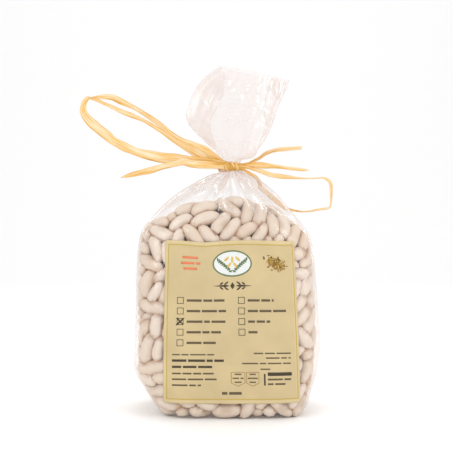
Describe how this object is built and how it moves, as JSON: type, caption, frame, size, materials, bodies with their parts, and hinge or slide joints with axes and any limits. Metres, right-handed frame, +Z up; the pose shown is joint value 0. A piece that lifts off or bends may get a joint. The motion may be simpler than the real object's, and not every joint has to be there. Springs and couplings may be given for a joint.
{
  "type": "bag of dried beans",
  "caption": "Upright clear film bag filled with dried white beans, its neck tied with a raffia bow, with a plain-layout paper label on the front.",
  "frame": {"origin": "middle of the bag's flat base, on the surface that it stands on", "axes": "+Z up along the bag to its tied neck and mouth; -Y is the front with the label; +X to the right seen from the front"},
  "size_m": [0.152, 0.0638, 0.206],
  "materials": {
    "beans_in_film": "ivory-white dried beans seen through clear, glossy, slightly hazy crinkled film",
    "label_paper": null,
    "raffia": "dry golden-straw raffia ribbon with lengthwise fibres"
  },
  "bodies": {
    "root": {"filled_bag": "beans_in_film", "label": "label_paper", "raffia_bow": "raffia"}
  },
  "joints": []
}
